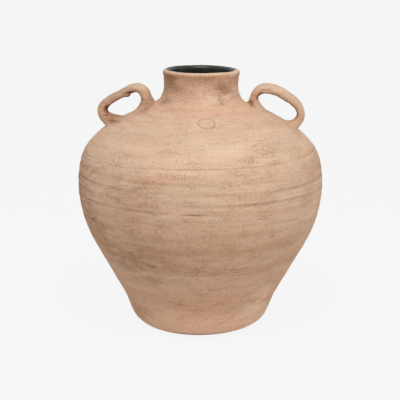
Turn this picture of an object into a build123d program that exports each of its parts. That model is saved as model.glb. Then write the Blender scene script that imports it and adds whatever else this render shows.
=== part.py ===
"""Terracotta storage jar (pithos) with two loop handles and a glazed inside.

The jar is built as a potter builds it: a floor disc, then thrown rings set one on another with keyed seams,
two rolled handles seated in the shoulder with clay wads pressed round their roots, and a glaze coat inside.
Millimetres, +Z up. The origin is the centre of the underside. The handles lie along X and the seal faces -Y.
"""

import math
import os
from dataclasses import dataclass

from build123d import *

# Whole jar
JAR_HEIGHT = 455.0

# Floor disc and foot ring
BASE_RADIUS = 80.0
FLOOR_THICKNESS = 14.0
FLOOR_LEDGE_HEIGHT = 6.0
FLOOR_LEDGE_WIDTH = 12.0
FLOOR_MARGIN = 16.0
FOOT_RISE = 60.0
FOOT_FULLNESS = ((0.567, 0.812),)

# Lower wall, which takes up what the other rings leave of the height
FOOT_SEAM_RADIUS = 135.4
FOOT_SEAM_LEAN = 26.5
FOOT_SEAM_WALL = 12.5
LOWER_WALL_FULLNESS = ((0.292, 0.379), (0.684, 0.844))

# Belly, standing out past the shoulder, with the rings that the thrower's fingers leave
BELLY_OVERHANG = 12.8
BELLY_SEAM_LEAN = 4.2
BELLY_SEAM_WALL = 11.5
BELLY_RISE = 74.0
BELLY_FULLNESS = ((0.497, 0.1),)
FINGER_RING_COUNT = 5
FINGER_RING_DEPTH = 1.2

# Shoulder, with its width measured outwards from the neck
SHOULDER_WIDTH = 126.7
SHOULDER_SEAM_LEAN = -31.0
SHOULDER_SEAM_WALL = 10.5
SHOULDER_RISE = 82.0
SHOULDER_FULLNESS = ((0.413, 0.273), (0.804, 0.715))

# Neck, whose inside is a straight bore and whose foot flares out to the shoulder
MOUTH_RADIUS = 55.0
BORE_LENGTH = 26.0
NECK_FLARE = 9.2
NECK_SEAM_LEAN = -45.5
NECK_SEAM_WALL = 10.0
NECK_RISE = 43.0
NECK_FULLNESS = ((0.21, 0.53), (0.465, 0.9), (0.72, 1.05))

# Rolled lip, which stands out past the neck
LIP_SEAM_WALL = 9.6
LIP_OVERHANG = 1.4
LIP_RISE = 12.0
LIP_ROUND = 6.0

# Glaze coat inside. It runs up over the lip by an angle counted from the bore towards the crest
GLAZE_THICKNESS = 0.8
GLAZE_OVER_LIP = 42.0

# Key that locks one ring into the next
KEY_HEIGHT = 3.0
KEY_WIDTH = 4.0
KEY_TOP_WIDTH = 2.4

# Handles, with the upper root measured from the neck seam and the lower root from the upper one
HANDLE_FROM_NECK = 13.4
HANDLE_SPAN = 72.5
HANDLE_UPPER_REACH = 42.0
HANDLE_LOWER_REACH = 43.0
HANDLE_BEND_RADIUS = 22.0
HANDLE_THICKNESS = 16.5
HANDLE_WIDTH = 20.0
HANDLE_SEAT_DEPTH = 3.0

# Clay wads pressed round the handle roots
WAD_WIDTH = 5.0
WAD_HEIGHT = 9.0
WAD_EDGE = 0.6

# Plain seal pressed into the front of the shoulder
SEAL_FROM_NECK = 46.4
SEAL_AZIMUTH = -85.6
SEAL_RADIUS = 14.0
SEAL_LINE_WIDTH = 1.2
SEAL_DEPTH = 0.8


@dataclass
class Seam:
    """Where one ring sits on the next: a place on the outer face, the wall's lean and its thickness."""

    radius: float
    height: float
    lean: float
    wall: float

    @property
    def upward(self):
        lean = math.radians(self.lean)
        return Vector(math.sin(lean), math.cos(lean))

    def point(self, depth=0.0, rise=0.0):
        """A point so deep below the outer face and so far up along the wall."""
        outward = Vector(self.upward.Y, -self.upward.X)
        return Vector(self.radius, self.height) - outward * depth + self.upward * rise

    def line(self):
        """The joint from the outer face to the inner face, with its key in the middle of the wall."""
        middle, half, top_half = self.wall / 2, KEY_WIDTH / 2, KEY_TOP_WIDTH / 2
        return Polyline(
            self.point(),
            self.point(middle - half),
            self.point(middle - top_half, KEY_HEIGHT),
            self.point(middle + top_half, KEY_HEIGHT),
            self.point(middle + half),
            self.point(self.wall),
        )


@dataclass
class Ring:
    """A thrown ring between two seams. Fullness: shares of the rise and of the change in radius."""

    low: Seam
    high: Seam
    fullness: tuple

    def places(self):
        """Each fullness point, with its share of the rise."""
        low, change = self.low.point(), self.high.point() - self.low.point()
        return [(up, low + Vector(across * change.X, up * change.Y)) for up, across in self.fullness]

    def outer(self):
        points = [self.low.point(), *(place for _, place in self.places()), self.high.point()]
        return Spline(*points, tangents=(self.low.upward, self.high.upward))

    def deeper(self, low_depth, high_depth):
        """The outer curve moved into the clay, by a depth that changes evenly from seam to seam."""
        outer = self.outer()
        points = [self.low.point(low_depth)]
        for up, place in self.places():
            depth = low_depth + up * (high_depth - low_depth)
            points.append(place - outward_at(outer, place) * depth)
        points.append(self.high.point(high_depth))
        return Spline(*points, tangents=(self.low.upward, self.high.upward))

    def inner(self, coat=0.0):
        return self.deeper(self.low.wall + coat, self.high.wall + coat)

    def solid(self, outer_edges=None):
        return turned(*(outer_edges or [self.outer()]), self.high.line(), self.inner(), self.low.line())


def outward_at(curve, place):
    """The direction out of the clay at a place on a curve that climbs the wall."""
    along = curve.tangent_at(place)
    return Vector(along.Y, -along.X)


def turned(*edges):
    """Solid turned about the jar's axis from a closed outline drawn as (radius, height)."""
    return revolve(Plane.XZ * make_face(edges), Axis.Z)


def filled(*edges):
    """Solid turned from edges that climb the wall, filled in to the axis."""
    bottom, top = edges[0] @ 0, edges[-1] @ 1
    to_axis = Polyline(top, (0, top.Y), (0, bottom.Y), bottom)
    return turned(*edges, to_axis)


# Radii that follow from the mouth outwards
CLAY_BORE_RADIUS = MOUTH_RADIUS + GLAZE_THICKNESS
LIP_SEAM_RADIUS = CLAY_BORE_RADIUS + LIP_SEAM_WALL
LIP_RADIUS = LIP_SEAM_RADIUS + LIP_OVERHANG
NECK_SEAM_RADIUS = LIP_SEAM_RADIUS + NECK_FLARE
SHOULDER_SEAM_RADIUS = NECK_SEAM_RADIUS + SHOULDER_WIDTH
BELLY_SEAM_RADIUS = SHOULDER_SEAM_RADIUS + BELLY_OVERHANG

# Heights that follow from the lip downwards
LIP_CENTRE_HEIGHT = JAR_HEIGHT - LIP_ROUND
LIP_SEAM_HEIGHT = JAR_HEIGHT - LIP_RISE
BORE_BOTTOM = LIP_SEAM_HEIGHT - BORE_LENGTH
NECK_SEAM_HEIGHT = LIP_SEAM_HEIGHT - NECK_RISE
SHOULDER_SEAM_HEIGHT = NECK_SEAM_HEIGHT - SHOULDER_RISE
BELLY_SEAM_HEIGHT = SHOULDER_SEAM_HEIGHT - BELLY_RISE

# Inside of the foot
FLOOR_BOSS_RADIUS = BASE_RADIUS - FLOOR_LEDGE_WIDTH
INNER_FLOOR_RADIUS = FLOOR_BOSS_RADIUS + FLOOR_MARGIN

foot_seam = Seam(FOOT_SEAM_RADIUS, FOOT_RISE, FOOT_SEAM_LEAN, FOOT_SEAM_WALL)
belly_seam = Seam(BELLY_SEAM_RADIUS, BELLY_SEAM_HEIGHT, BELLY_SEAM_LEAN, BELLY_SEAM_WALL)
shoulder_seam = Seam(SHOULDER_SEAM_RADIUS, SHOULDER_SEAM_HEIGHT, SHOULDER_SEAM_LEAN, SHOULDER_SEAM_WALL)
neck_seam = Seam(NECK_SEAM_RADIUS, NECK_SEAM_HEIGHT, NECK_SEAM_LEAN, NECK_SEAM_WALL)
lip_seam = Seam(LIP_SEAM_RADIUS, LIP_SEAM_HEIGHT, 0.0, LIP_SEAM_WALL)

lower_ring = Ring(foot_seam, belly_seam, LOWER_WALL_FULLNESS)
belly_ring = Ring(belly_seam, shoulder_seam, BELLY_FULLNESS)
shoulder_ring = Ring(shoulder_seam, neck_seam, SHOULDER_FULLNESS)
neck_ring = Ring(neck_seam, lip_seam, NECK_FULLNESS)


def floor_disc():
    """Flat disc with a flange at its underside, which the foot ring stands on."""
    return turned(
        Polyline(
            (0, 0),
            (BASE_RADIUS, 0),
            (BASE_RADIUS, FLOOR_LEDGE_HEIGHT),
            (FLOOR_BOSS_RADIUS, FLOOR_LEDGE_HEIGHT),
            (FLOOR_BOSS_RADIUS, FLOOR_THICKNESS),
            (0, FLOOR_THICKNESS),
            close=True,
        )
    )


def heel_place():
    """Where the rounded heel turns up into the wall."""
    up, across = FOOT_FULLNESS[0]
    return Vector(BASE_RADIUS + across * (foot_seam.radius - BASE_RADIUS), up * foot_seam.height)


def heel_curve():
    """Outer face of the foot: from the flat underside round the heel to the foot seam."""
    return Spline((BASE_RADIUS, 0), heel_place(), foot_seam.point(), tangents=((1, 0), foot_seam.upward))


def foot_inner(coat=0.0):
    """Inside of the foot: from the floor, curving up to the foot seam."""
    depth = foot_seam.wall + coat
    middle = heel_place() - outward_at(heel_curve(), heel_place()) * depth
    start = Vector(INNER_FLOOR_RADIUS, FLOOR_THICKNESS + coat)
    return Spline(start, middle, foot_seam.point(depth), tangents=((1, 0), foot_seam.upward))


def foot_ring():
    step = Polyline(
        (INNER_FLOOR_RADIUS, FLOOR_THICKNESS),
        (FLOOR_BOSS_RADIUS, FLOOR_THICKNESS),
        (FLOOR_BOSS_RADIUS, FLOOR_LEDGE_HEIGHT),
        (BASE_RADIUS, FLOOR_LEDGE_HEIGHT),
        (BASE_RADIUS, 0),
    )
    return turned(heel_curve(), foot_seam.line(), foot_inner(), step)


def belly_wall():
    """The ring at the widest part. Each finger leaves one hollow, and the hollows meet at low ridges."""
    smooth = belly_ring.outer()
    hollows = []
    for i in range(FINGER_RING_COUNT):
        start, middle, end = (smooth @ ((i + share) / FINGER_RING_COUNT) for share in (0, 0.5, 1))
        hollows.append(ThreePointArc(start, middle - outward_at(smooth, middle) * FINGER_RING_DEPTH, end))
    return belly_ring.solid(hollows)


def neck_inner(coat=0.0):
    """Inside of the neck: from the neck seam, turning up into the bottom of the straight bore."""
    start = neck_seam.point(neck_seam.wall + coat)
    end = Vector(CLAY_BORE_RADIUS - coat, BORE_BOTTOM)
    return Spline(start, end, tangents=(neck_seam.upward, (0, 1)))


def neck_collar():
    bore = Line((CLAY_BORE_RADIUS, BORE_BOTTOM), lip_seam.point(lip_seam.wall))
    return turned(neck_ring.outer(), lip_seam.line(), bore, neck_inner(), neck_seam.line())


def lip_arc(angle, coat=0.0):
    """The last stretch of the lip's rounded top before the bore. The whole top is half a turn."""
    half = (LIP_RADIUS - CLAY_BORE_RADIUS) / 2
    centre = (LIP_RADIUS - half, LIP_CENTRE_HEIGHT)
    return EllipticalCenterArc(centre, half + coat, LIP_ROUND + coat, 180 - angle, arc_size=angle)


def rim_lip():
    """Rolled bead that stands a little proud of the neck."""
    bead = Spline(lip_seam.point(), (LIP_RADIUS, LIP_CENTRE_HEIGHT), tangents=((0, 1), (0, 1)))
    bore = Line((CLAY_BORE_RADIUS, LIP_CENTRE_HEIGHT), lip_seam.point(lip_seam.wall))
    return turned(bead, lip_arc(180), bore, lip_seam.line())


def lining_face(coat):
    """The inside of the jar with a coat over the clay, from the axis to where the glaze ends on the lip."""
    bore_radius = CLAY_BORE_RADIUS - coat
    return [
        Line((0, FLOOR_THICKNESS + coat), (INNER_FLOOR_RADIUS, FLOOR_THICKNESS + coat)),
        foot_inner(coat),
        lower_ring.inner(coat),
        belly_ring.inner(coat),
        shoulder_ring.inner(coat),
        neck_inner(coat),
        Line((bore_radius, BORE_BOTTOM), (bore_radius, LIP_CENTRE_HEIGHT)),
        lip_arc(GLAZE_OVER_LIP, coat),
    ]


def glaze_lining():
    """Thin coat over the whole inside."""
    clay_side, open_side = lining_face(0.0), lining_face(GLAZE_THICKNESS)
    end = Line(clay_side[-1] @ 0, open_side[-1] @ 0)
    axis = Line((0, FLOOR_THICKNESS), (0, FLOOR_THICKNESS + GLAZE_THICKNESS))
    return turned(*clay_side, end, *open_side, axis)


def shoulder_core(depth):
    """Everything that lies deeper than this below the shoulder's outer face."""
    return filled(shoulder_ring.deeper(depth, depth))


@dataclass
class Root:
    """Where something leaves the shoulder: a place in the outline and the way out of the clay there."""

    place: Vector
    outward: Vector

    def plane(self, rise):
        """Plane square to the way out, so far above the wall, with its X axis round the jar."""
        origin = Plane.XZ.from_local_coords(self.place + self.outward * rise)
        way_out = Plane.XZ.from_local_coords(self.outward)
        return Plane(origin, x_dir=(0, 1, 0), z_dir=way_out)


def shoulder_root(from_neck):
    """The place on the shoulder so far out from the neck seam."""
    outer = shoulder_ring.outer()
    upright = Axis((NECK_SEAM_RADIUS + from_neck, 0, 0), (0, 1, 0))
    place = outer.find_intersection_points(upright)[0]
    return Root(place, outward_at(outer, place))


upper_root = shoulder_root(HANDLE_FROM_NECK)
lower_root = shoulder_root(HANDLE_FROM_NECK + HANDLE_SPAN)


def handle():
    """Rolled loop on the +X side. Each leg leaves the wall square to it and sits in a shallow seat."""
    sunk = 2 * HANDLE_SEAT_DEPTH
    path = Plane.XZ * FilletPolyline(
        upper_root.place - upper_root.outward * sunk,
        upper_root.place + upper_root.outward * HANDLE_UPPER_REACH,
        lower_root.place + lower_root.outward * HANDLE_LOWER_REACH,
        lower_root.place - lower_root.outward * sunk,
        radius=HANDLE_BEND_RADIUS,
    )
    section = upper_root.plane(-sunk) * Ellipse(HANDLE_WIDTH / 2, HANDLE_THICKNESS / 2)
    return sweep(section, path) - shoulder_core(HANDLE_SEAT_DEPTH)


def wad(root, loop):
    """Clay pressed into the corner round a handle root, thick at the wall and thin up the leg."""

    def slice_at(rise):
        spread = WAD_EDGE + (WAD_WIDTH - WAD_EDGE) * (1 - rise / WAD_HEIGHT)
        return root.plane(rise) * Ellipse(HANDLE_WIDTH / 2 + spread, HANDLE_THICKNESS / 2 + spread)

    jar = filled(belly_ring.outer(), shoulder_ring.outer(), neck_ring.outer())
    return loft([slice_at(-WAD_HEIGHT), slice_at(WAD_HEIGHT)], ruled=True) - loop - jar


def seal_groove():
    """Ring that the plain seal leaves in the shoulder, square to the wall at its centre."""
    face = shoulder_root(SEAL_FROM_NECK).plane(0)
    ring = face * (Circle(SEAL_RADIUS) - Circle(SEAL_RADIUS - SEAL_LINE_WIDTH))
    groove = extrude(ring, amount=SEAL_RADIUS, both=True) - shoulder_core(SEAL_DEPTH)
    return Rot(0, 0, SEAL_AZIMUTH) * groove


def write(**pieces):
    os.makedirs("parts", exist_ok=True)
    for name, piece in pieces.items():
        export_step(piece, f"parts/{name}.step")


right_handle = handle()
left_handle = mirror(right_handle, about=Plane.YZ)
right_upper_wad = wad(upper_root, right_handle)
right_lower_wad = wad(lower_root, right_handle)

write(
    floor_disc=floor_disc(),
    foot_ring=foot_ring(),
    lower_wall=lower_ring.solid(),
    belly_wall=belly_wall(),
    shoulder_wall=shoulder_ring.solid() - right_handle - left_handle - seal_groove(),
    neck_collar=neck_collar(),
    rim_lip=rim_lip(),
    glaze_lining=glaze_lining(),
    right_handle=right_handle,
    left_handle=left_handle,
    right_upper_wad=right_upper_wad,
    right_lower_wad=right_lower_wad,
    left_upper_wad=mirror(right_upper_wad, about=Plane.YZ),
    left_lower_wad=mirror(right_lower_wad, about=Plane.YZ),
)
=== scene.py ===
import math
import bpy
import numpy as np
from mathutils import Matrix, Vector


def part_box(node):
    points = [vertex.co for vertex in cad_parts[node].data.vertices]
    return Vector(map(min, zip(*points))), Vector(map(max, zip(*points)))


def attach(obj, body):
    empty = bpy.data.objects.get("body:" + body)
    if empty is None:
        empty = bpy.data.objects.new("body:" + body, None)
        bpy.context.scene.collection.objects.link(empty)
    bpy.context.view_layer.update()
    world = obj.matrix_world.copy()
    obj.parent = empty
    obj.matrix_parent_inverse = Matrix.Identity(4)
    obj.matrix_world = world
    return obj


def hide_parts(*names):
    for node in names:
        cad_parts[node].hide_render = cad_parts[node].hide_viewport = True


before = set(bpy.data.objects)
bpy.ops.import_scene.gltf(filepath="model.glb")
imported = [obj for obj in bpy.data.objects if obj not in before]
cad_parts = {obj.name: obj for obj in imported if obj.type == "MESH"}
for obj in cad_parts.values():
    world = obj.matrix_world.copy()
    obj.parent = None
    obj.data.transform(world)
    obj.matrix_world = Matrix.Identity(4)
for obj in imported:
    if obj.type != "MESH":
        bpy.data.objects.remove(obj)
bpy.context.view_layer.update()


# Floor disc
# The flat bottom of the jar: a slab of terracotta patted out on the wheel head, with a flange round its
# underside. The foot ring is luted down onto the flange. Sizes here and below are in millimetres.
def cad_radius(node):
    """How far a CAD node reaches from the jar's axis, in millimetres to a tenth."""
    return round(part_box(node)[1].x * 1000, 1)


def cad_bottom(node):
    """The lowest height of a CAD node, in millimetres to a tenth."""
    return round(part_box(node)[0].z * 1000, 1)


def cad_top(node):
    """The highest height of a CAD node, in millimetres to a tenth."""
    return round(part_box(node)[1].z * 1000, 1)


BASE_RADIUS = cad_radius("floor_disc")
FLOOR_THICK = cad_top("floor_disc")
JAR_HEIGHT = cad_top("rim_lip")
LEDGE_HEIGHT = 6
BOSS_RADIUS = 68
AXIS_GAP = 0.5
SHARP_EDGE = math.radians(42)

# The columns of points stand twice as close at the seal, on the jar's front, as they would evenly spread.
COLUMNS = 560
SEAL_ANGLE = math.radians(-85.6)
turn = np.linspace(0, 2 * np.pi, COLUMNS, endpoint=False)
THETA = turn - 0.5 * np.sin(turn - SEAL_ANGLE)


def put_piece(name, points, faces, hollow, node, slot, material):
    """A mesh from points in millimetres, with a hollow value at each point that tells where the brown wash
    and painted shade gather, and below 0 where a painted highlight lies. It stands for a CAD node, rides on
    the jar and takes the finish of the given material. The slot is not used."""
    mesh = bpy.data.meshes.new(name)
    mesh.from_pydata(points / 1000, [], faces)
    depth = mesh.attributes.new("hollow", "FLOAT", "POINT")
    depth.data.foreach_set("value", np.ravel(hollow).astype(np.float32))
    mesh.polygons.foreach_set("use_smooth", np.ones(len(mesh.polygons), bool))
    mesh.set_sharp_from_angle(angle=SHARP_EDGE)
    mesh.materials.append(material)
    piece = bpy.data.objects.new(name, mesh)
    bpy.context.collection.objects.link(piece)
    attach(piece, "root")
    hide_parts(node)


def turned(outline, hollow, on_axis=False):
    """Points and faces of a turned shape. Point (row, angle) is (r cos angle, r sin angle, z), with r and z
    from the outline at that row and angle. The rows close in a loop, or in a point on the axis at both
    ends."""
    rows, columns = outline.shape[:2]
    angle = THETA[::COLUMNS // columns]
    radius, height = outline[..., 0], outline[..., 1]
    points = np.stack([radius * np.cos(angle), radius * np.sin(angle), height], -1).reshape(-1, 3)
    low = np.arange(rows - 1 if on_axis else rows)[:, None]
    high = (low + 1) % rows
    here = np.arange(columns)
    there = (here + 1) % columns
    corners = [low * columns + here, low * columns + there, high * columns + there, high * columns + here]
    faces = np.stack(corners, -1).reshape(-1, 4).tolist()
    if on_axis:
        first, last, top = len(points), len(points) + 1, (rows - 1) * columns
        points = np.concatenate([points, [(0, 0, height[0].mean()), (0, 0, height[-1].mean())]])
        hollow = np.append(hollow, [0, 0])
        faces += np.stack([there, here, np.full(columns, first)], -1).tolist()
        faces += np.stack([top + here, top + there, np.full(columns, last)], -1).tolist()
    return points, faces, hollow


def all_round(line):
    """A line of (radius, height) points repeated at every angle."""
    return np.broadcast_to(np.asarray(line, float)[:, None, :], (len(line), COLUMNS, 2))


def fired(red, green, blue):
    """A colour written as it looks on screen, 0 to 255, as the linear value that a shader takes, by the
    screen's own curve: a power of 2.4 with a straight foot."""
    screen = np.array([red, green, blue]) / 255
    linear = np.where(screen > 0.04045, ((screen + 0.055) / 1.055) ** 2.4, screen / 12.92)
    return (*linear.tolist(), 1.0)


def add_node(tree, kind, inputs=(), **settings):
    """A shader node with its settings. Each input is a plain value or another node's output."""
    node = tree.nodes.new(kind)
    for key, value in settings.items():
        setattr(node, key, value)
    for key, value in dict(inputs).items():
        if isinstance(value, bpy.types.NodeSocket):
            tree.links.new(value, node.inputs[key])
        else:
            node.inputs[key].default_value = value
    return node


def math_node(tree, operation, first, second=0.0, third=0.0):
    """One step of arithmetic on shader values."""
    inputs = {0: first, 1: second, 2: third}
    return add_node(tree, "ShaderNodeMath", inputs, operation=operation).outputs[0]


def vector_node(tree, operation, *values):
    """One step of arithmetic on places. A length comes out as a value, everything else as a place."""
    node = add_node(tree, "ShaderNodeVectorMath", enumerate(values), operation=operation)
    return node.outputs["Value" if operation == "LENGTH" else "Vector"]


def ease(tree, value, low, high, bottom=0.0, top=1.0):
    """Smooth step from bottom to top as a value goes from low to high."""
    inputs = {0: value, 1: low, 2: high, 3: bottom, 4: top}
    return add_node(tree, "ShaderNodeMapRange", inputs, interpolation_type="SMOOTHSTEP").outputs[0]


def mixed(tree, share, first, second, blend="MIX"):
    """A share of the second colour laid over the first."""
    inputs = {0: share, 6: first, 7: second}
    return add_node(tree, "ShaderNodeMix", inputs, data_type="RGBA", blend_type=blend).outputs[2]


def cloud(tree, place, stretch, scale, detail=3.0, rough=0.55, seed=0.0):
    """Noise over the clay. The place is stretched first, so that marks run round the jar as the wheel
    turns, and moved on by the seed."""
    moved = vector_node(tree, "MULTIPLY_ADD", place, stretch, (seed, seed * 0.7, seed * 1.3))
    inputs = {"Vector": moved, "Scale": scale, "Detail": detail, "Roughness": rough}
    return add_node(tree, "ShaderNodeTexNoise", inputs).outputs["Fac"]


def new_group(name, inputs, outputs):
    """An empty node group with named inputs and outputs, each a (name, kind of value)."""
    tree = bpy.data.node_groups.new(name, "ShaderNodeTree")
    for label, kind in inputs:
        tree.interface.new_socket(name=label, in_out="INPUT", socket_type="NodeSocket" + kind)
    for label, kind in outputs:
        tree.interface.new_socket(name=label, in_out="OUTPUT", socket_type="NodeSocket" + kind)
    return tree, tree.nodes.new("NodeGroupInput").outputs, tree.nodes.new("NodeGroupOutput").inputs


def sponged_wash():
    """The finish of the clay. Pale slip lies on it in streaks, and the tan body shows through by Bare. Two
    thin washes darken what they lie on: salmon by Pink, and brown by Brown, in hollows and in fine lines,
    which turns to umber where it lies thick. Brown, Pink and Hollow also carry painted shade: in grooves,
    creases and corners, under the lip's bead and the heel, and on the left flank, umber where deepest.
    Ridges, where Hollow is below 0, are painted paler, a painted highlight on the raised clay. A sponge
    left specks of the brown on the grit, closer together by Sponge. Run is the place with its height
    counted along the wall."""
    amounts = [(label, "Float") for label in ("Hollow", "Bare", "Pink", "Brown", "Sponge")]
    tree, given, result = new_group(
        "sponged wash", [("Place", "Vector"), ("Run", "Vector"), *amounts],
        [("Colour", "Color"), ("Roughness", "Float"), ("Height", "Float")])
    slip, pale_slip, dun_slip = fired(226, 190, 162), fired(231, 199, 172), fired(211, 180, 150)
    ridge_highlight_slip, tan_body, salmon = fired(236, 208, 182), fired(197, 157, 126), fired(255, 232, 221)
    brown_wash_and_shade, umber, speck_brown = fired(190, 173, 157), fired(150, 118, 98), fired(178, 151, 131)

    streaks = cloud(tree, given["Run"], (1, 1, 9), 12, 6, 0.62)
    patches = cloud(tree, given["Run"], (1, 1, 3), 9, 4, 0.55, seed=3.1)
    warm = cloud(tree, given["Run"], (1, 1, 4), 11, 5, 0.6, seed=7.7)
    lines = cloud(tree, given["Run"], (1, 1, 20), 22, 3, 0.6, seed=9.1)
    dabs = cloud(tree, given["Run"], (1, 1, 2.2), 34, 5, 0.65, seed=5.2)
    grit = cloud(tree, given["Place"], (1, 1, 1.9), 430, 3, 0.6, seed=1.3)
    grain = cloud(tree, given["Place"], (1, 1, 1.5), 620, 2, 0.6, seed=2.4)

    colour = mixed(tree, ease(tree, streaks, 0.36, 0.62), slip, pale_slip)
    colour = mixed(tree, ease(tree, patches, 0.44, 0.66, 0.04, 0.43), colour, dun_slip)
    bare = math_node(tree, "MULTIPLY", given["Bare"], ease(tree, streaks, 0.3, 0.7, 1.12, 0.88))
    colour = mixed(tree, bare, colour, tan_body)
    pink = math_node(tree, "ADD", ease(tree, warm, 0.5, 0.72, 0.02, 0.34), given["Pink"])
    colour = mixed(tree, pink, colour, salmon, "MULTIPLY")
    # Ridges, where Hollow is below 0, get a painted highlight in a paler slip colour.
    ridge_highlight = math_node(tree, "MULTIPLY", given["Hollow"], -1.6)
    colour = mixed(tree, ridge_highlight, colour, ridge_highlight_slip)
    # Brown and Hollow lay the brown wash and also painted shade in grooves, creases, corners and under
    # things.
    brown = math_node(tree, "MULTIPLY_ADD", given["Hollow"], 0.45, given["Brown"])
    brown = math_node(tree, "ADD", brown, ease(tree, lines, 0.52, 0.7, 0.01, 0.11))
    colour = mixed(tree, brown, colour, brown_wash_and_shade, "MULTIPLY")
    colour = mixed(tree, ease(tree, brown, 1.3, 2.2), colour, umber, "MULTIPLY")

    weight = math_node(tree, "ADD", dabs, given["Sponge"])
    level = math_node(tree, "MULTIPLY_ADD", math_node(tree, "SUBTRACT", weight, 0.5), 0.5, grit)
    specks = ease(tree, level, 0.56, 0.69)
    pigment = math_node(tree, "MULTIPLY", specks, 0.5)
    colour = mixed(tree, pigment, colour, speck_brown, "MULTIPLY")
    shade = ease(tree, grain, 0.3, 0.7, 0.88, 1.085)
    grains = add_node(tree, "ShaderNodeCombineColor", {0: shade, 1: shade, 2: shade}).outputs[0]
    tree.links.new(mixed(tree, 1.0, colour, grains, "MULTIPLY"), result["Colour"])

    tree.links.new(ease(tree, specks, 0, 1, 0.82, 0.93), result["Roughness"])
    pits = math_node(tree, "MULTIPLY_ADD", specks, -0.4, grit)
    fine = math_node(tree, "MULTIPLY_ADD", grain, 0.25, pits)
    tree.links.new(math_node(tree, "MULTIPLY_ADD", streaks, 0.55, fine), result["Height"])
    return tree


def sponge_dab():
    """One press of the sponge: 1 at a centre, falling to 0 at a size away along each axis, with a ragged
    edge."""
    tree, given, result = new_group(
        "sponge dab", [("Place", "Vector"), ("Centre", "Vector"), ("Size", "Vector")], [("Mask", "Float")])
    away = vector_node(tree, "SUBTRACT", given["Place"], given["Centre"])
    reach = vector_node(tree, "LENGTH", vector_node(tree, "DIVIDE", away, given["Size"]))
    edge = cloud(tree, given["Place"], (1, 1, 4), 38, 5, 0.65, seed=6.3)
    reach = math_node(tree, "MULTIPLY_ADD", math_node(tree, "SUBTRACT", edge, 0.5), 1.8, reach)
    tree.links.new(ease(tree, reach, 0.15, 1.0, 1.0, 0.0), result["Mask"])
    return tree


WASH = sponged_wash()
DAB = sponge_dab()
# The wall in rough outline, (radius, height) from foot to lip, and the distance up it at each point.
WALL_OUTLINE = np.array([
    (BASE_RADIUS, 0), (110, 10), (125, 34), (135, 60), (165, 114), (202, 186), (214, 244), (209, 300),
    (190, 332), (167, 352), (138, 370), (111, 384), (75, 400), (66, 415), (65, 443),
    (67, JAR_HEIGHT)], float)
WALL_RUN = np.append(0, np.cumsum(np.hypot(*np.diff(WALL_OUTLINE, axis=0).T)))
RELIEF_METRES = 0.0009


def terracotta(name, by_height, dabs, bump):
    """Matte sponged terracotta. By_height has (height, amount) pairs from the foot to the lip for each of
    Bare, Pink, Brown and Sponge. Dabs are (centre, size, amounts), each adding its amounts round a place on
    the jar. Streaks are laid along WALL_RUN, so that they stay thin on the flat shoulder."""
    material = bpy.data.materials.new(name)
    material.use_nodes = True
    tree = material.node_tree
    shader = tree.nodes["Principled BSDF"]
    place = add_node(tree, "ShaderNodeTexCoord").outputs["Object"]
    sides = add_node(tree, "ShaderNodeSeparateXYZ", {0: place}).outputs
    share = math_node(tree, "DIVIDE", sides["Z"], JAR_HEIGHT / 1000)

    def ramp(pairs, blend):
        """The amount at each height, between the pairs in a straight line or with an ease."""
        node = add_node(tree, "ShaderNodeValToRGB", {0: share})
        node.color_ramp.interpolation = blend
        stops = node.color_ramp.elements
        for stop, (at, amount) in zip(stops, (pairs[0], pairs[-1])):
            stop.position = at / JAR_HEIGHT
            stop.color = (amount, amount, amount, 1)
        for at, amount in pairs[1:-1]:
            stops.new(at / JAR_HEIGHT).color = (amount, amount, amount, 1)
        return node.outputs["Color"]

    climb = ramp(list(zip(WALL_OUTLINE[:, 1], WALL_RUN / WALL_RUN[-1])), "LINEAR")
    climb = math_node(tree, "MULTIPLY", climb, WALL_RUN[-1] / 1000)
    run = add_node(tree, "ShaderNodeCombineXYZ", {0: sides["X"], 1: sides["Y"], 2: climb}).outputs[0]
    totals = {label: ramp(pairs, "EASE") for label, pairs in by_height.items()}
    for centre, size, amounts in dabs:
        dab = add_node(tree, "ShaderNodeGroup", node_tree=DAB)
        tree.links.new(place, dab.inputs["Place"])
        dab.inputs["Centre"].default_value = [value / 1000 for value in centre]
        dab.inputs["Size"].default_value = [value / 1000 for value in size]
        for label, amount in amounts.items():
            totals[label] = math_node(tree, "MULTIPLY_ADD", dab.outputs["Mask"], amount, totals[label])
    totals["Hollow"] = add_node(tree, "ShaderNodeAttribute", attribute_name="hollow").outputs["Fac"]
    wash = add_node(tree, "ShaderNodeGroup", node_tree=WASH)
    for label, value in {"Place": place, "Run": run, **totals}.items():
        tree.links.new(value, wash.inputs[label])
    tree.links.new(wash.outputs["Colour"], shader.inputs["Base Color"])
    tree.links.new(wash.outputs["Roughness"], shader.inputs["Roughness"])
    relief = {"Height": wash.outputs["Height"], "Strength": bump, "Distance": RELIEF_METRES}
    tree.links.new(add_node(tree, "ShaderNodeBump", relief).outputs[0], shader.inputs["Normal"])
    shader.inputs["Specular IOR Level"].default_value = 0.22
    return material


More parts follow.
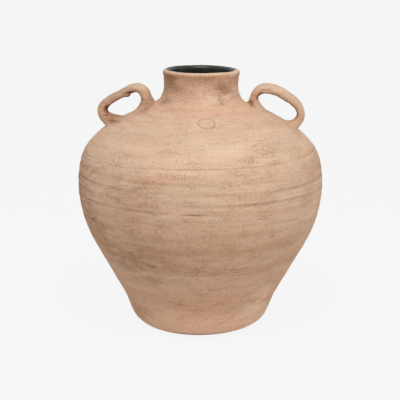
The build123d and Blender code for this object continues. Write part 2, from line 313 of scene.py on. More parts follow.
CLAY = terracotta(
    "sponged_terracotta",
    # Near the top Bare, Pink and Brown fall away over the last few millimetres, which paints the lip's lit
    # crest paler than the painted shade on its bead's underside. Brown at the foot paints the shade under
    # the heel.
    by_height={
        "Bare": [
            (0, 0.0), (30, 0.0), (45, 0.2), (66, 0.6), (110, 0.6), (146, 0.7), (186, 0.72), (214, 0.56),
            (236, 0.36), (250, 0.32), (293, 0.25), (320, 0.08), (350, 0.0), (400, 0.05), (417, 0.1),
            (436, 0.14), (448.5, 0.16), (453, 0.0)],
        "Pink": [
            (0, 0.5), (45, 0.45), (72, 0.25), (100, 0.05), (300, 0.0), (350, 0.0), (385, 0.25), (394, 0.4),
            (401, 0.3), (409, 0.08), (417, 0.22), (427, 0.22), (440, 0.32), (448.5, 0.36), (453.5, 0.05)],
        "Brown": [
            (0, 1.0), (6, 1.0), (9.5, 0.2), (13, 0.0), (200, 0.02), (300, 0.0), (405, 0.0), (417, 0.05),
            (427, 0.15), (440, 0.35), (448.5, 0.41), (453, 0.24)],
        "Sponge": [
            (0, 0.05), (60, 0.1), (200, 0.09), (300, 0.11), (330, 0.05), (395, 0.04), (410, 0.17),
            (448.5, 0.22), (453, 0.05)]},
    dabs=[
        # Lip and neck
        # The first two dabs paint shade: on the neck's left side and, darkest, the shadow under the lip's
        # left end.
        ((-55, -33, 428), (26, 34, 22), {"Brown": 0.36}),
        ((-56, -34, 443), (24, 34, 9), {"Brown": 1.1}),
        ((5, -65, 430), (22, 30, 16), {"Pink": -0.25, "Brown": -0.12}),
        ((31, -60, 411), (5, 20, 6), {"Brown": 0.4}),
        ((35.5, -62, 405), (5, 20, 6), {"Brown": 0.45}),
        ((45, -50, 413), (11, 24, 6), {"Brown": -0.2, "Sponge": -0.2}),
        ((-57, -41, 405), (20, 34, 9), {"Brown": 0.34}),
        ((30, -67, 404), (24, 26, 8), {"Brown": 0.32}),
        ((-67, -36, 399.5), (12, 24, 5), {"Brown": 0.4}),
        ((-36, -55, 422), (24, 30, 16), {"Sponge": 0.12, "Brown": 0.06}),
        ((40, -52, 424), (26, 30, 13), {"Sponge": 0.22, "Brown": 0.34}),
        ((34, -55, 434), (22, 30, 9), {"Sponge": 0.1, "Pink": 0.3, "Brown": 0.15}),
        ((-42, -50, 434), (16, 30, 10), {"Brown": -0.12}),
        ((58, -30, 434), (14, 30, 18), {"Pink": 0.2, "Brown": -0.15}),
        # These two lighten the lip's ends, taking back painted shade where each end is seen from the side;
        # the right one also paints a highlight where its end catches the light.
        ((57, -33, 451), (22, 34, 6), {"Bare": -0.35, "Pink": -0.35, "Brown": -0.35}),
        ((-60, -26, 449.5), (12, 24, 5), {"Brown": -0.25}),
        ((12, -67, 408), (44, 30, 9), {"Bare": -0.3, "Brown": -0.2, "Sponge": -0.2}),
        # Shoulder
        ((40, -105, 383), (34, 40, 10), {"Pink": -0.65}),
        ((76, -95, 377), (26, 34, 9), {"Pink": -0.25, "Brown": -0.15}),
        ((98, -85, 374.5), (36, 34, 8), {"Pink": -0.2, "Brown": -0.15, "Sponge": -0.1}),
        ((-61, -124, 371), (18, 24, 7), {"Brown": -0.2, "Sponge": -0.2}),
        ((-69, -89, 383.5), (18, 24, 7), {"Brown": -0.25, "Sponge": -0.2}),
        ((-57, -112, 377), (26, 30, 6), {"Brown": -0.16, "Sponge": -0.15}),
        ((110, -144, 342), (60, 60, 26), {"Sponge": 0.18}),
        ((80, -178, 327), (18, 30, 12), {"Sponge": 0.22}),
        ((118, -161, 320), (40, 40, 6), {"Pink": 0.4, "Brown": 0.12}),
        ((180, -59, 333), (40, 60, 22), {"Pink": 0.12}),
        ((160, -58, 352), (26, 50, 12), {"Bare": 0.08}),
        ((-90, -144, 350), (56, 50, 12), {"Pink": 0.4}),
        ((-95, -110, 367), (60, 60, 9), {"Pink": -0.15, "Sponge": -0.15}),
        ((39, -177, 341), (60, 50, 16), {"Pink": -0.4, "Sponge": -0.2}),
        ((85, -115, 368), (40, 50, 10), {"Pink": -0.2}),
        ((8, -121, 380), (30, 30, 9), {"Pink": -0.3}),
        # Shoulder, round the handle roots: painted shade under and beside the handles, with some sponging
        ((160, -18, 356), (26, 30, 16), {"Brown": 0.3}),
        ((-148, -20, 366), (24, 28, 12), {"Brown": 0.35, "Sponge": 0.2}),
        ((-95, -26, 388), (24, 34, 11), {"Brown": 0.2, "Sponge": 0.4}),
        ((88, -20, 394), (11, 16, 7), {"Brown": 0.5}),
        # Belly
        ((180, -112, 250), (24, 50, 30), {"Brown": 0.12, "Bare": 0.12}),
        ((0, -205, 312), (50, 30, 5), {"Bare": -0.15, "Sponge": -0.15}),
        ((190, -96, 290), (24, 50, 30), {"Pink": 0.36, "Brown": 0.2}),
        ((112, -182, 267), (36, 40, 15), {"Brown": 0.3}),
        ((-70, -197, 300), (64, 40, 18), {"Pink": 0.4}),
        ((-167, -124, 302), (30, 40, 14), {"Brown": -0.15, "Bare": -0.1}),
        ((150, -130, 245), (80, 90, 70), {"Sponge": -0.1}),
        ((-110, -180, 272), (70, 70, 40), {"Sponge": 0.05}),
        ((-82, -196, 291), (50, 40, 10), {"Sponge": 0.1}),
        ((-81, -199, 258), (40, 40, 12), {"Sponge": 0.12}),
        ((-115, -181, 245), (80, 60, 50), {"Bare": 0.42}),
        # Painted shade: these two darken the left flank, where the light falls off.
        ((-214, -30, 235), (66, 150, 120), {"Brown": 0.42, "Pink": 0.4}),
        ((-213, -10, 240), (16, 130, 100), {"Brown": 0.14, "Pink": 0.2}),
        ((-11, -214, 245.4), (27, 20, 2.2), {"Brown": 0.55}),
        ((-168.5, -115, 311.5), (3, 8, 2.4), {"Brown": 1.0}),
        # Lower wall
        # Painted shade on the left flank, as on the belly.
        ((-184, -105, 218), (24, 60, 24), {"Brown": 0.16, "Bare": 0.1}),
        ((-110, -172, 194), (30, 50, 22), {"Brown": 0.13, "Bare": 0.1}),
        ((-72, -175, 165), (60, 70, 55), {"Brown": 0.17, "Bare": 0.1}),
        ((95, -188, 216), (40, 40, 12), {"Pink": 0.25}),
        ((200, -80, 205), (70, 120, 70), {"Bare": -0.4}),
        ((148, -151, 206), (30, 60, 16), {"Bare": -0.35}),
        # These two are painted shade on the left flank too.
        ((-172, -122, 200), (22, 50, 20), {"Brown": 0.2}),
        ((-175, -100, 170), (50, 60, 60), {"Brown": 0.16, "Pink": 0.3}),
        ((-122, -145, 155), (70, 70, 34), {"Sponge": 0.2, "Brown": 0.2}),
        ((28, -199, 187), (60, 40, 16), {"Pink": 0.3}),
        ((-10, -183, 146), (120, 60, 14), {"Brown": 0.06, "Sponge": 0.1}),
        ((-40, -160, 124), (40, 40, 12), {"Brown": 0.2}),
        ((-56, -202, 222), (26, 30, 7), {"Brown": 0.22}),
        ((-80, -147, 117), (40, 40, 12), {"Brown": 0.15, "Sponge": 0.15}),
        ((0, -142, 72), (90, 50, 14), {"Pink": 0.2, "Sponge": 0.02, "Brown": -0.06}),
        ((112, -108, 84), (40, 60, 30), {"Bare": -0.36, "Pink": -0.1}),
        ((-134, -114, 129), (30, 60, 24), {"Brown": 0.25}),
        # Foot
        ((-104, -60, 36), (44, 60, 42), {"Brown": 0.42}),
        ((96, -90, 50), (46, 60, 24), {"Bare": -0.6, "Pink": -0.4}),
        ((90, -70, 24), (40, 50, 22), {"Pink": -0.25}),
    ],
    bump=0.55)

floor_outline = all_round([
    (AXIS_GAP, 0), (BASE_RADIUS, 0), (BASE_RADIUS, LEDGE_HEIGHT), (BOSS_RADIUS, LEDGE_HEIGHT),
    (BOSS_RADIUS, FLOOR_THICK), (AXIS_GAP, FLOOR_THICK)])
put_piece("floor_slab", *turned(floor_outline, np.zeros(floor_outline.shape[:2]), on_axis=True),
          "floor_disc", "terracotta", CLAY)


# Foot ring
# The rounded heel, thrown as a thick ring of terracotta on the edge of the floor slab and turned smooth, so
# that the jar stands on a narrow flat and the wall leaves it at a slant. Its edge is worn a little on the
# right. A key along its top holds the next ring.
def wall_line(stations, leans, rows):
    """Smooth line through (radius, height) stations: a cubic spline over chord length whose ends lean from
    upright by the two angles in degrees. Returns the rows of the line and the unit directions out of the
    clay."""
    at = np.array(stations, float)
    chord = np.hypot(*np.diff(at, axis=0).T)
    along = np.append(0, np.cumsum(chord))
    ends = np.array([(math.sin(math.radians(lean)), math.cos(math.radians(lean))) for lean in leans])
    count = len(at)
    system, wanted = np.eye(count), np.zeros((count, 2))
    wanted[0], wanted[-1] = ends
    inside = np.arange(1, count - 1)
    before, after = 1 / chord[:-1], 1 / chord[1:]
    system[inside, inside - 1] = before
    system[inside, inside] = 2 * (before + after)
    system[inside, inside + 1] = after
    step = np.diff(at, axis=0) / chord[:, None] ** 2
    wanted[1:-1] = 3 * (step[:-1] + step[1:])
    slope = np.linalg.solve(system, wanted)
    where = np.linspace(0, along[-1], rows)
    piece = np.clip(np.searchsorted(along, where, "right") - 1, 0, count - 2)
    size = chord[piece][:, None]
    t = (where[:, None] - along[piece][:, None]) / size
    line = ((1 + 2 * t) * (1 - t) ** 2 * at[piece] + t * (1 - t) ** 2 * size * slope[piece]
            + t * t * (3 - 2 * t) * at[piece + 1] + t * t * (t - 1) * size * slope[piece + 1])
    climb = np.gradient(line, axis=0)
    climb[0], climb[-1] = ends
    climb /= np.hypot(*climb.T)[:, None]
    return line, np.stack([climb[:, 1], -climb[:, 0]], -1)


KEY_WIDTH, KEY_CREST, KEY_HEIGHT = 4, 2.4, 3


def seam_points(place, outward, wall):
    """The joint across a wall, without its two ends: a key with slanting sides in its middle."""
    upward = np.array([-outward[1], outward[0]])
    marks = [(wall / 2 - KEY_WIDTH / 2, 0), (wall / 2 - KEY_CREST / 2, KEY_HEIGHT),
             (wall / 2 + KEY_CREST / 2, KEY_HEIGHT), (wall / 2 + KEY_WIDTH / 2, 0)]
    return np.array([place - outward * depth + upward * rise for depth, rise in marks])


def inner_face(line, outward, walls, coat=0.0):
    """The inside of a ring: its outer line moved in by the wall, which goes evenly from the first thickness
    at the bottom to the second at the top, and by a coat on it."""
    return line - outward * (np.linspace(*walls, len(line))[:, None] + coat)


NOISE_START, NOISE_SPAN = -20, 520


def clay_noise(theta, height, cells, rise, seed):
    """Smooth random values from -1 to 1: a lattice with so many cells round the jar and one row per rise of
    height, blended with smooth steps."""
    lattice = np.random.default_rng(seed).uniform(-1, 1, (int(NOISE_SPAN / rise) + 3, cells))
    across = np.mod(theta / (2 * np.pi), 1) * cells
    up = (height - NOISE_START) / rise
    col, row = np.floor(across).astype(int) % cells, np.floor(up).astype(int)
    u, v = across - np.floor(across), up - row
    u, v = u * u * (3 - 2 * u), v * v * (3 - 2 * v)
    right = (col + 1) % cells
    low = lattice[row, col] * (1 - u) + lattice[row, right] * u
    high = lattice[row + 1, col] * (1 - u) + lattice[row + 1, right] * u
    return low * (1 - v) + high * v


def hand_wobble(theta, height):
    """How far the thrown wall strays from true: slow waves of two and three to the turn that drift with
    height, soft lumps, and fine drag lines of the sponge. It fades out over the floor's thickness towards
    the underside, which is flat."""
    slow = 0.25 * np.cos(2 * theta + 0.6 + height / 300) + 0.15 * np.cos(3 * theta - height / 140)
    lumps = 0.34 * clay_noise(theta, height, 26, 36, 11) + 0.2 * clay_noise(theta, height, 64, 13, 12)
    drags = 0.13 * clay_noise(theta, height, 9, 3.2, 13) + 0.07 * clay_noise(theta, height, 40, 2.4, 14)
    return (slow + lumps + drags) * np.clip(height / FLOOR_THICK, 0, 1) ** 1.5


def angle_from(theta, towards):
    """How far an angle lies from another one, from -pi to pi."""
    return (theta - towards + np.pi) % (2 * np.pi) - np.pi


TRACK_LEVEL, TRACK_ROW = 250.0, 40


def groove(theta, height, at, depth, width, seed, rest=0.6, lean=0.0):
    """A finger's track round the wall, in mm below it: depth * exp(-u^2) with u = (height - at) / width,
    less a third of that at u = -1.6 or 1.6, where the clay was pushed up into a ridge. Its height sways,
    and leans up to the right; its depth comes and goes about rest in long and short stretches as it runs
    round, and so do the ridges."""

    def waver(cells, shift):
        """Noise round the jar, read at one level, so that it is the same across the whole track."""
        return clay_noise(theta, TRACK_LEVEL, cells, TRACK_ROW, seed + shift)

    middle = at + lean * np.cos(theta) + 1.1 * waver(5, 0)
    strength = np.clip(rest + 0.55 * waver(15, 1) + 0.45 * waver(47, 600), 0.03, None)
    u = (height - middle) / width
    above = np.clip(0.5 + 0.9 * waver(11, 300), 0, 1)
    ridges = above * np.exp(-(u - 1.6) ** 2) + (1 - above) * np.exp(-(u + 1.6) ** 2)
    return depth * strength * (np.exp(-u ** 2) - 0.36 * ridges)


BANDS = ((60, 0.25, 2.2), (138, 0.35, 6), (178, 0.3, 6), (208, 0.35, 5))
RINGS = ((245, 0.68, 2.5), (259.5, 0.6, 2.7), (277.5, 0.68, 2.9), (293.5, 0.6, 3.1), (308, 0.3, 1.9))
TRACES = (222, 232, 239, 252, 265.5, 270.5, 284, 288, 299.5, 303.5)
SEAM_LINE = 317.5
SAG_DEPTH, SAG_TURN, SAG_ANGLE = 3.2, 0.2, math.radians(231)
SCRATCH_HEIGHT, SCRATCH_ANGLE = 245.2, math.radians(267)
SCRATCH_DEPTH, SCRATCH_HALF_WIDTH, SCRATCH_HALF_TURN = 0.9, 0.9, 0.085


def ring_grooves(theta, height):
    """All the tracks on the jar's wall, in mm below it: faint broad bands on the lower wall, finger rings
    on the belly with broken traces of the sponge between them, one fine line by the shoulder's joint, which
    sags on the left of the front, and one short scratch under the rings. Bands and rings are (height,
    depth, width)."""
    sag = SAG_DEPTH * np.exp(-(angle_from(theta, SAG_ANGLE) / SAG_TURN) ** 2)
    sunk = groove(theta, height, SEAM_LINE - sag, depth=0.8, width=1.1, seed=21, rest=0.7, lean=4)
    for count, (at, depth, width) in enumerate(BANDS + RINGS):
        sunk = sunk + groove(theta, height, at, depth, width, seed=23 + 2 * count)
    for count, at in enumerate(TRACES):
        seed = 141 + 2 * count
        sunk = sunk + groove(theta, height, at, depth=0.34, width=1.0, seed=seed, rest=0.12, lean=1.5)
    across = (height - SCRATCH_HEIGHT) / SCRATCH_HALF_WIDTH
    along = angle_from(theta, SCRATCH_ANGLE) / SCRATCH_HALF_TURN
    return sunk + SCRATCH_DEPTH * np.exp(-across ** 2 - along ** 4)


def wall_face(line, outward):
    """The outer face of a ring: the line moved out of the clay by the wobble and into it by the grooves."""
    height = line[:, 1:]
    sunk = ring_grooves(THETA, height)
    relief = hand_wobble(THETA, height) - sunk
    return line[:, None] + outward[:, None] * relief[..., None], sunk


FULL_HOLLOW = 0.9


def closed_ring(face, sunk, hidden):
    """A ring from its outer face and the line of (radius, height) points behind it that closes it. Its
    hollow value is how far the face is sunk, in parts of FULL_HOLLOW."""
    outline = np.concatenate([face, all_round(hidden)])
    # Through this value sunk parts get the brown wash and painted shade, and raised ridges a painted
    # highlight.
    hollow = np.concatenate([np.clip(sunk / FULL_HOLLOW, -0.4, 1.6), np.zeros((len(hidden), COLUMNS))])
    return turned(outline, hollow)


def heel_wear(theta, height):
    """How far the heel's edge is worn, in mm: most 4 mm up, fading within 8 mm of that and at the
    underside, and strongest towards the right front, by a power of the cosine from there."""
    by_height = 1.3 * np.exp(-((height - 4) / 8) ** 2) * np.clip(height / 2, 0, 1)
    return by_height * np.clip(np.cos(theta + 0.35), 0, 1) ** 1.5


FOOT_SEAM = (cad_radius("foot_ring"), cad_bottom("lower_wall"))
FOOT_LEAN, FOOT_WALL = 26.5, 12.5
FLOOR_INNER_RADIUS = 84
FOOT_INNER_ROW = 40
foot_line, foot_out = wall_line(
    [(BASE_RADIUS, 0), (95.1, 2), (109.9, 10), (118.3, 20), (124.9, 34.1), FOOT_SEAM],
    (90, FOOT_LEAN), rows=78)
foot_face, foot_sunk = wall_face(foot_line, foot_out)
foot_face = foot_face - foot_out[:, None] * heel_wear(THETA, foot_line[:, 1:])[..., None]
foot_in = inner_face(foot_line, foot_out, (FOOT_WALL, FOOT_WALL))[FOOT_INNER_ROW::6]
foot_hidden = np.concatenate([
    seam_points(foot_line[-1], foot_out[-1], FOOT_WALL), foot_in[::-1],
    [(FLOOR_INNER_RADIUS, FLOOR_THICK), (BOSS_RADIUS, FLOOR_THICK), (BOSS_RADIUS, LEDGE_HEIGHT),
     (BASE_RADIUS, LEDGE_HEIGHT)]])
put_piece("foot_heel", *closed_ring(foot_face, foot_sunk, foot_hidden), "foot_ring", "terracotta", CLAY)


# Lower wall
# The flaring part between foot and belly, one tall thrown ring of terracotta keyed onto the foot. Its
# outside was scraped on the wheel, which left faint broad bands.
BELLY_SEAM = (cad_radius("lower_wall"), cad_bottom("belly_wall"))
BELLY_LEAN, BELLY_WALL = 4.2, 11.5
HIDDEN_ROWS = 16
lower_line, lower_out = wall_line(
    [FOOT_SEAM, (147.4, 82), (165.2, 114), (185.4, 150), (201.8, 186), (211.3, 222), BELLY_SEAM],
    (FOOT_LEAN, BELLY_LEAN), rows=146)


def behind(line, outward, walls):
    """The hidden rest of a ring: its upper joint, a few rows of its inside from the top down, and its lower
    joint."""
    inside = inner_face(line, outward, walls)[::-1]
    rows = np.unique(np.linspace(0, len(inside) - 1, HIDDEN_ROWS).astype(int))
    return np.concatenate([seam_points(line[-1], outward[-1], walls[1]), inside[rows],
                           seam_points(line[0], outward[0], walls[0])[::-1]])


lower_hidden = behind(lower_line, lower_out, (FOOT_WALL, BELLY_WALL))
put_piece("lower_wall_ring", *closed_ring(*wall_face(lower_line, lower_out), lower_hidden),
          "lower_wall", "terracotta", CLAY)


# Belly
# The widest ring of terracotta, with the finger rings of the throwing left as they came: five soft hollows
# with the brown wash and painted shade in them, and a painted highlight on the ridges beside them. It is
# keyed between the lower wall and the shoulder.
SHOULDER_SEAM = (cad_radius("shoulder_wall"), 318)
SHOULDER_LEAN, SHOULDER_WALL = -31.0, 10.5
belly_line, belly_out = wall_line(
    [BELLY_SEAM, (214.6, 256), (212.9, 281), (209.1, 300), SHOULDER_SEAM],
    (BELLY_LEAN, SHOULDER_LEAN), rows=126)
belly_hidden = behind(belly_line, belly_out, (BELLY_WALL, SHOULDER_WALL))
put_piece("belly_ring", *closed_ring(*wall_face(belly_line, belly_out), belly_hidden),
          "belly_wall", "terracotta", CLAY)


# Shoulder
# The ring that closes in from the belly to the neck, terracotta, joined at a fine line that still shows. A
# plain round seal was pressed into its front while the clay was soft.
NECK_SEAM = (cad_radius("neck_collar"), cad_top("shoulder_wall"))
NECK_LEAN, NECK_WALL = -45.5, 10.0
SEAL_FROM_AXIS, SEAL_RADIUS = 121.0, 14.0
SEAL_TRACK, SEAL_DEPTH = 0.9, 0.9
DENT_FROM_AXIS, DENT_ANGLE = 128, math.radians(168)
DENT_DEPTH, DENT_SPREAD, DENT_TURN = 2.3, 24, 0.42
shoulder_line, shoulder_out = wall_line(
    [SHOULDER_SEAM, (190.5, 332), (166.7, 352), (138.0, 370.4), (123.9, 378), (110.7, 384), (93.9, 390.2),
     (81.0, 395.6), NECK_SEAM], (SHOULDER_LEAN, NECK_LEAN), rows=150)


def seal_mark(line):
    """The seal's ring in mm below the wall: a round track of the seal's radius, with the middle pressed a
    little deeper than the wall around it. Distance is counted along the wall and round the jar."""
    step = np.append(0, np.cumsum(np.hypot(*np.diff(line, axis=0).T)))
    centre = np.interp(-SEAL_FROM_AXIS, -line[:, 0], step)
    away = np.hypot((step - centre)[:, None], angle_from(THETA, SEAL_ANGLE) * line[:, :1])
    rim = np.exp(-((away - SEAL_RADIUS) / SEAL_TRACK) ** 2)
    return SEAL_DEPTH * rim + 0.25 / (1 + np.exp((away - SEAL_RADIUS) * 2)), rim


def shoulder_dent(theta, radius):
    """How far the shoulder sank where the left handle was pressed on, in mm: a bell curve of the distance
    from one radius times a bell curve of the angle from one direction."""
    round_off = angle_from(theta, DENT_ANGLE) / DENT_TURN
    return DENT_DEPTH * np.exp(-((radius - DENT_FROM_AXIS) / DENT_SPREAD) ** 2 - round_off ** 2)


shoulder_face, shoulder_sunk = wall_face(shoulder_line, shoulder_out)
pressed, seal_rim = seal_mark(shoulder_line)
pressed = pressed + shoulder_dent(THETA, shoulder_line[:, :1])
shoulder_face = shoulder_face - shoulder_out[:, None] * pressed[..., None]
shoulder_sunk = np.maximum(shoulder_sunk, 1.4 * seal_rim)
shoulder_hidden = behind(shoulder_line, shoulder_out, (SHOULDER_WALL, NECK_WALL))
put_piece("shoulder_dome", *closed_ring(shoulder_face, shoulder_sunk, shoulder_hidden),
          "shoulder_wall", "terracotta", CLAY)


# Neck
# A short collar of terracotta, drawn up from the shoulder with a hollow sweep outside and a straight bore
# inside. It is keyed onto the shoulder, and the lip onto it.
CLAY_BORE, BORE_BOTTOM = 55.8, 417
LIP_SEAM = (65.4, cad_bottom("rim_lip"))
LIP_LEAN, LIP_WALL = 3, 9.6
neck_line, neck_out = wall_line(
    [NECK_SEAM, (70.8, 404), (68.7, 409), (66.2, 415), (64.9, 420), (64.4, 427), (64.5, 432), LIP_SEAM],
    (NECK_LEAN, LIP_LEAN), rows=48)


def neck_inside(coat):
    """The curve from the shoulder's inside to the foot of the bore, with a coat on the clay."""
    start = neck_line[0] - neck_out[0] * (NECK_WALL + coat)
    return wall_line([start, (CLAY_BORE - coat, BORE_BOTTOM)], (NECK_LEAN, 0), rows=8)[0]


neck_hidden = np.concatenate([
    seam_points(neck_line[-1], neck_out[-1], LIP_WALL), [(CLAY_BORE, LIP_SEAM[1])], neck_inside(0.0)[::-1],
    seam_points(neck_line[0], neck_out[0], NECK_WALL)[::-1]])
put_piece("neck_sweep", *closed_ring(*wall_face(neck_line, neck_out), neck_hidden),
          "neck_collar", "terracotta", CLAY)


# Lip
# The rim, a bead of terracotta folded out over the neck and smoothed with a wet cloth. It stands a little
# proud and rises and dips slightly as it goes round.
LIP_RADIUS = cad_radius("rim_lip")
LIP_ROUND = 6
LIP_HALF = (LIP_RADIUS - CLAY_BORE) / 2
LIP_MIDDLE = LIP_RADIUS - LIP_HALF
LIP_LEVEL = JAR_HEIGHT - LIP_ROUND
LIP_CREASE, CREST_START = 449.6, 451.5


def lip_curve(angle, coat=0.0):
    """The rounded top: an ellipse round the bead's middle, from straight out (0) over the crest to the
    bore (pi)."""
    radius = LIP_MIDDLE + (LIP_HALF + coat) * np.cos(angle)
    return np.stack([radius, LIP_LEVEL + (LIP_ROUND + coat) * np.sin(angle)], -1)


def lip_wave(outline):
    """Raises and lowers what lies above the neck: nothing at the joint, most at the crest. The crest dips
    towards the back by about a millimetre, and wavers in waves of two and five to the turn and in noise."""
    share = np.clip((outline[..., 1] - LIP_SEAM[1]) / (JAR_HEIGHT - LIP_SEAM[1]), 0, 1)
    wave = 0.25 * np.cos(2 * THETA + 1.0) + 0.15 * np.cos(5 * THETA)
    wave = wave + 0.12 * clay_noise(THETA, 0.0, 40, 40, 51)
    wave = wave - 0.75 * (1 + np.sin(THETA)) + 0.5 * np.clip(np.sin(THETA), 0, 1) ** 4
    return np.stack([outline[..., 0], outline[..., 1] + share * wave], -1)


bead_line, bead_out = wall_line(
    [LIP_SEAM, (65.7, 445), (66.6, 447.2), (LIP_RADIUS, LIP_LEVEL)], (LIP_LEAN, 0), rows=12)
bead_face, _ = wall_face(bead_line, bead_out)
bead_fade = np.linspace(1, 0, len(bead_line))[:, None, None]
bead_face = bead_line[:, None] + (bead_face - bead_line[:, None]) * bead_fade
crest = all_round(lip_curve(np.linspace(0, np.pi, 30)[1:]))
lip_hidden = [(CLAY_BORE, LIP_SEAM[1]), *seam_points(bead_line[0], bead_out[0], LIP_WALL)[::-1]]
lip_outline = lip_wave(np.concatenate([bead_face, crest, all_round(lip_hidden)]))

# A soft crease runs round the bead's outside, with painted shade in it for the bead's underside, and the
# crest is painted paler: a painted highlight on its lit top.
crease_rows = len(bead_line) + 6
lip_hollow = np.zeros(lip_outline.shape[:2])
lip_hollow[:crease_rows] = 0.6 * np.exp(-((lip_outline[:crease_rows, :, 1] - LIP_CREASE) / 1.4) ** 2)
lip_outline[:crease_rows, :, 0] -= 0.8 * lip_hollow[:crease_rows]
lip_hollow -= 0.3 * np.clip((lip_outline[..., 1] - CREST_START) / 1.5, 0, 1)
put_piece("lip_bead", *turned(lip_outline, lip_hollow), "rim_lip", "terracotta", CLAY)


# Glaze lining
# A dark charcoal glaze poured round the whole inside to make the jar hold liquid. It ends in an uneven line
# along the crest of the lip, and stops short of the crest at one place on the right.
GLAZE_THICK = 0.8
SHORT_ANGLE = -0.38


def lining_material():
    """Dark glaze: charcoal with slow streaks where it ran, a soft gloss that varies, and faint ripples."""
    material = bpy.data.materials.new("charcoal_glaze")
    material.use_nodes = True
    tree = material.node_tree
    shader = tree.nodes["Principled BSDF"]
    charcoal, smoke = fired(33, 33, 27), fired(46, 46, 40)
    place = add_node(tree, "ShaderNodeTexCoord").outputs["Object"]
    runs = cloud(tree, place, (3, 3, 0.6), 18, 3, 0.5)
    ripple = cloud(tree, place, (1, 1, 0.5), 60, 2, 0.5, seed=4.0)
    colour = mixed(tree, ease(tree, runs, 0.35, 0.65), charcoal, smoke)
    tree.links.new(colour, shader.inputs["Base Color"])
    tree.links.new(ease(tree, runs, 0.3, 0.7, 0.32, 0.46), shader.inputs["Roughness"])
    shader.inputs["Specular IOR Level"].default_value = 0.4
    bump = add_node(tree, "ShaderNodeBump", {"Height": ripple, "Strength": 0.25, "Distance": 0.0012})
    tree.links.new(bump.outputs[0], shader.inputs["Normal"])
    return material


def lining_side(coat):
    """One side of the glaze, from the floor's middle to the lip, so far over the clay. Its edge is an angle
    on the lip's round, where 90 degrees is the crest and more lies inside it."""
    floor = [(radius, FLOOR_THICK + coat) for radius in (AXIS_GAP, 40, FLOOR_INNER_RADIUS)]
    rings = [
        inner_face(foot_line, foot_out, (FOOT_WALL, FOOT_WALL), coat)[FOOT_INNER_ROW:],
        inner_face(lower_line, lower_out, (FOOT_WALL, BELLY_WALL), coat),
        inner_face(belly_line, belly_out, (BELLY_WALL, SHOULDER_WALL), coat),
        inner_face(shoulder_line, shoulder_out, (SHOULDER_WALL, NECK_WALL), coat)]
    bore = np.stack([np.full(12, CLAY_BORE - coat), np.linspace(BORE_BOTTOM, LIP_LEVEL, 12)], -1)
    body = np.concatenate([floor, *(ring[:-1:8] for ring in rings), neck_inside(coat)[:-1], bore])
    short = np.exp(-(angle_from(THETA, SHORT_ANGLE) / 0.5) ** 2)
    edge = np.radians(93 - 8 * np.sin(THETA) + 42 * short) + 0.06 * clay_noise(THETA, 0.0, 23, 40, 61)
    share = np.linspace(0, 1, 14)[1:, None]
    over = lip_curve(np.pi + (edge - np.pi) * share, coat * (1 - 0.6 * share ** 3))
    return lip_wave(np.concatenate([all_round(body), over]))


lining = np.concatenate([lining_side(0.0), lining_side(GLAZE_THICK)[::-1]])[:, ::2]
put_piece("glaze_coat", *turned(lining, np.zeros(lining.shape[:2]), on_axis=True),
          "glaze_lining", "dark_glaze", lining_material())


# Handles
# Two loops of terracotta, each pulled by hand from a roll of clay, bent over and seated in the shoulder.
# The right one is even with a crease along its inner edge, the left one is slimmer on top with a lump
# under it.
HANDLE_CLAY = terracotta(
    "handle_terracotta",
    by_height={
        "Bare": [(0, 0.2), (350, 0.2), (385, 0.25), (400, 0.3), (425, 0.1), (455, 0.0)],
        "Pink": [(0, 0.05), (350, 0.05), (390, 0.03), (420, 0.0), (455, 0.0)],
        "Brown": [(0, 0.15), (350, 0.15), (410, 0.15), (430, 0.02), (455, 0.0)],
        "Sponge": [(0, 0.0), (350, 0.0), (455, 0.0)]},
    dabs=[
        # Right handle
        # Painted shade: the three darkest dabs, and the one at 392 mm, darken the corner at the inner root
        # and the inner edge under the strap.
        ((86.5, -8, 398), (9, 22, 9), {"Brown": 1.7, "Sponge": 0.2}),
        ((99, -6, 407.5), (6, 20, 8), {"Brown": 1.2}),
        ((104, -8, 413), (7, 20, 6), {"Brown": 1.1}),
        ((140, -8, 407), (46, 30, 26), {"Bare": -0.3, "Pink": -0.3}),
        ((91, -12, 392), (8, 20, 5), {"Brown": 0.4}),
        ((93, -8, 409), (14, 30, 14), {"Brown": 0.15, "Pink": 0.4}),
        ((108, -8, 428), (18, 30, 8), {"Brown": 0.12}),
        ((158, -8, 408), (24, 30, 20), {"Pink": -0.2, "Bare": -0.1}),
        # Left handle
        ((-140, 0, 404), (60, 40, 40), {"Bare": 0.3, "Brown": 0.26}),
        ((-168, 0, 384), (20, 40, 24), {"Brown": 0.15, "Pink": 0.3}),
        ((-163, -8, 386), (8, 20, 14), {"Brown": 0.55}),
        ((-164, -8, 389), (7, 20, 7), {"Brown": 1.0}),
        # Painted shade in the crevice where the root meets the shoulder.
        ((-153, -14, 363), (11, 20, 4.5), {"Brown": 0.6}),
        ((-153, -6, 369), (24, 40, 14), {"Brown": 0.45, "Sponge": 0.3}),
        ((-104, 0, 424), (24, 40, 9), {"Bare": -0.4, "Brown": -0.25}),
        # These three paint shade in the crevice under the strap's lump.
        ((-120, -10, 418), (14, 20, 7), {"Brown": 0.25}),
        ((-125, -10, 413.6), (13, 18, 4.5), {"Brown": 0.5}),
        ((-121, -10, 413), (7, 18, 3.5), {"Brown": 1.4}),
        ((-89, -6, 400), (9, 24, 14), {"Brown": 0.05, "Sponge": 0.15}),
        ((-98, -8, 408), (9, 20, 8), {"Brown": -0.2, "Bare": -0.2}),
        ((-97, -8, 392), (18, 20, 9), {"Sponge": 0.25}),
    ],
    bump=0.5)
HANDLE_RINGS, HANDLE_COLUMNS = 190, 72
LUMP_RUN = 480
SECTION_POWER = 0.86
SMOOTH_RINGS = 15


